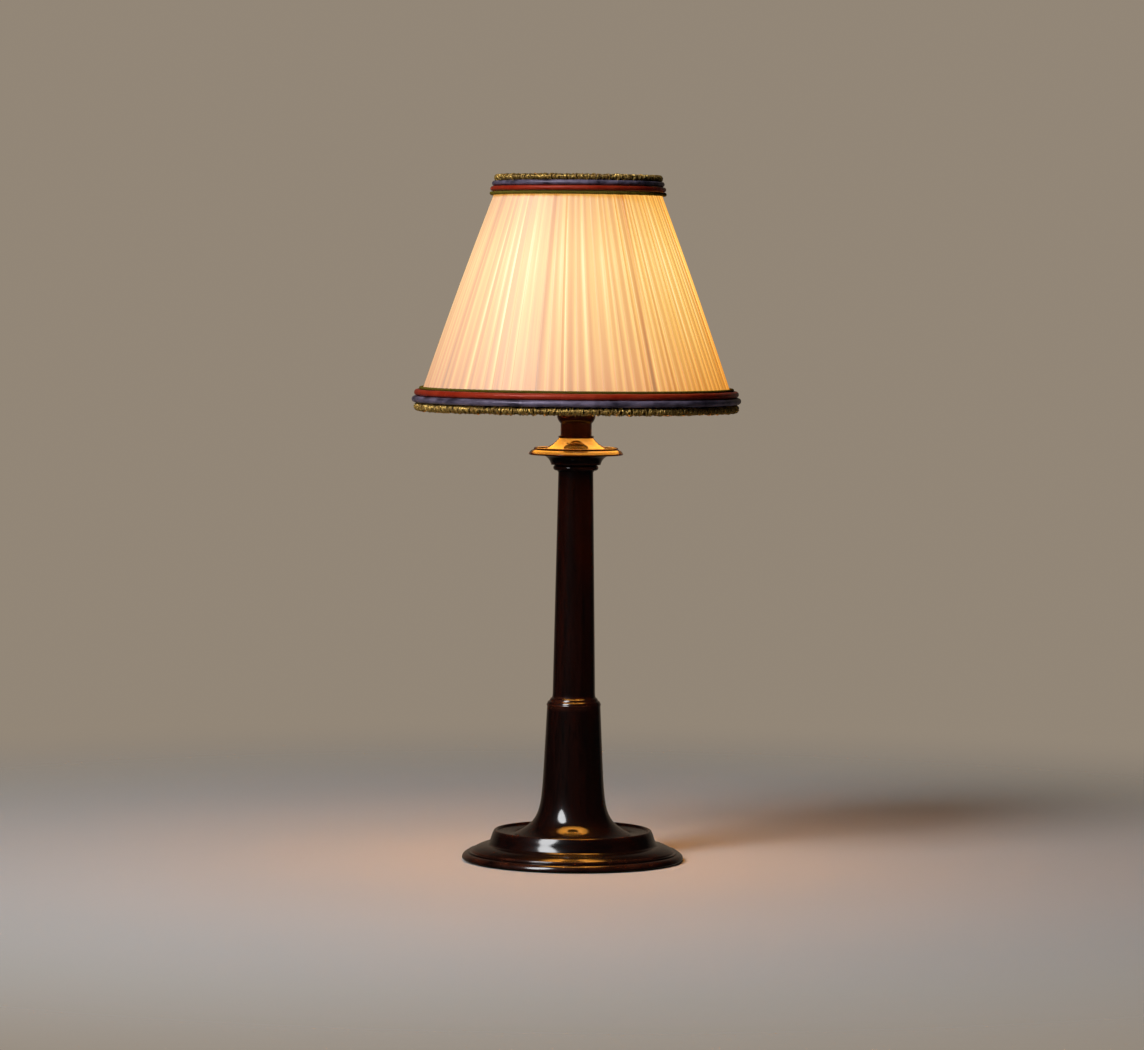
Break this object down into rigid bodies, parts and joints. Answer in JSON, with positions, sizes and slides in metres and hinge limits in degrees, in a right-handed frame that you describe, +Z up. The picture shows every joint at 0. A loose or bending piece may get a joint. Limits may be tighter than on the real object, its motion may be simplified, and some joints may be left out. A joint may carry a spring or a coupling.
{
  "type": "table lamp",
  "caption": "Turned, dark polished candlestick table lamp with a dished foot, drip pan and a pleated silk empire shade trimmed with piping and gold braid.",
  "frame": {"origin": "on the stem's axis, at the underside of the baize, where the lamp stands on the table", "axes": "+Z up the stem, -Y towards the front that the picture shows, the cord hole at +Y"},
  "size_m": [0.2374, 0.2374, 0.4943],
  "materials": {
    "polished_wood": "dark red-brown hardwood, French polished to a deep gloss",
    "baize": "dark green wool baize",
    "brass": "drawn and lacquered, slightly dulled",
    "steel": "plain bright steel",
    "spring_wire": "bright spring wire",
    "moulded_brown": "moulded dark brown insulator",
    "cap_metal": "satin",
    "black_seal": "fused black insulator",
    "pearl_glass": "inside-frosted glass, lit",
    "clear_glass": "clear",
    "filament": "glowing wire",
    "frame_wire": "cream coated wire",
    "lining": "smooth cream lining cloth",
    "silk": "pleated cream silk, translucent",
    "green_cord": "thin twisted olive cord",
    "red_piping": "satin covered piping",
    "blue_piping": "satin covered piping",
    "gold_braid": "metallic looped braid"
  },
  "bodies": {
    "stand": {"baize_pad": "baize", "base_foot": "polished_wood", "cord_bush": "brass", "tie_washer": "steel", "tie_nut": "steel", "tie_tube": "brass", "lower_stem": "polished_wood", "upper_stem": "polished_wood", "capital": "polished_wood", "drip_pan": "polished_wood", "nozzle": "polished_wood", "neck_washer": "brass", "holder_cap": "brass", "locking_screw": "steel", "holder_core": "moulded_brown", "terminal_screws": "brass", "plunger_springs": "spring_wire", "holder_skirt": "brass", "shade_ring_lower": "brass"},
    "switch": {"switch_bar": "moulded_brown"},
    "contacts": {"contact_plungers": "brass"},
    "bulb": {"bulb_seal": "black_seal", "bulb_contacts": "steel", "bulb_cap": "cap_metal", "bulb_glass": "pearl_glass", "bulb_stem": "clear_glass", "bulb_filament": "filament"},
    "clamp_ring": {"shade_ring_upper": "brass"},
    "shade": {"carrier_ring": "brass", "carrier_arms": "brass", "frame_top_ring": "frame_wire", "frame_bottom_ring": "frame_wire", "frame_struts": "frame_wire", "shade_lining": "lining", "shade_silk": "silk", "top_green_cord": "green_cord", "top_red_piping": "red_piping", "top_blue_piping": "blue_piping", "top_gold_braid": "gold_braid", "bottom_green_cord": "green_cord", "bottom_red_piping": "red_piping", "bottom_blue_piping": "blue_piping", "bottom_gold_braid": "gold_braid"}
  },
  "joints": [
    {"name": "switch_push", "type": "slide", "parent": "stand", "child": "switch", "axis": [1, 0, 0], "range_m": [0, 0.006]},
    {"name": "contact_press", "type": "slide", "parent": "stand", "child": "contacts", "axis": [0, 0, -1], "range_m": [0, 0.002], "stiffness_N_per_m": 1500, "springref_m": -0.004, "deforming": ["plunger_springs"]},
    {"name": "bulb_twist", "type": "hinge", "parent": "contacts", "child": "bulb", "pos_m": [0, 0, 0.3784], "axis": [0, 0, 1], "range_deg": [0, 25]},
    {"name": "clamp_turn", "type": "hinge", "parent": "stand", "child": "clamp_ring", "pos_m": [0, 0, 0.3714], "axis": [0, 0, 1], "range_deg": [0, 360]},
    {"name": "shade_turn", "type": "hinge", "parent": "stand", "child": "shade", "pos_m": [0, 0, 0.3684], "axis": [0, 0, 1], "continuous": true}
  ]
}
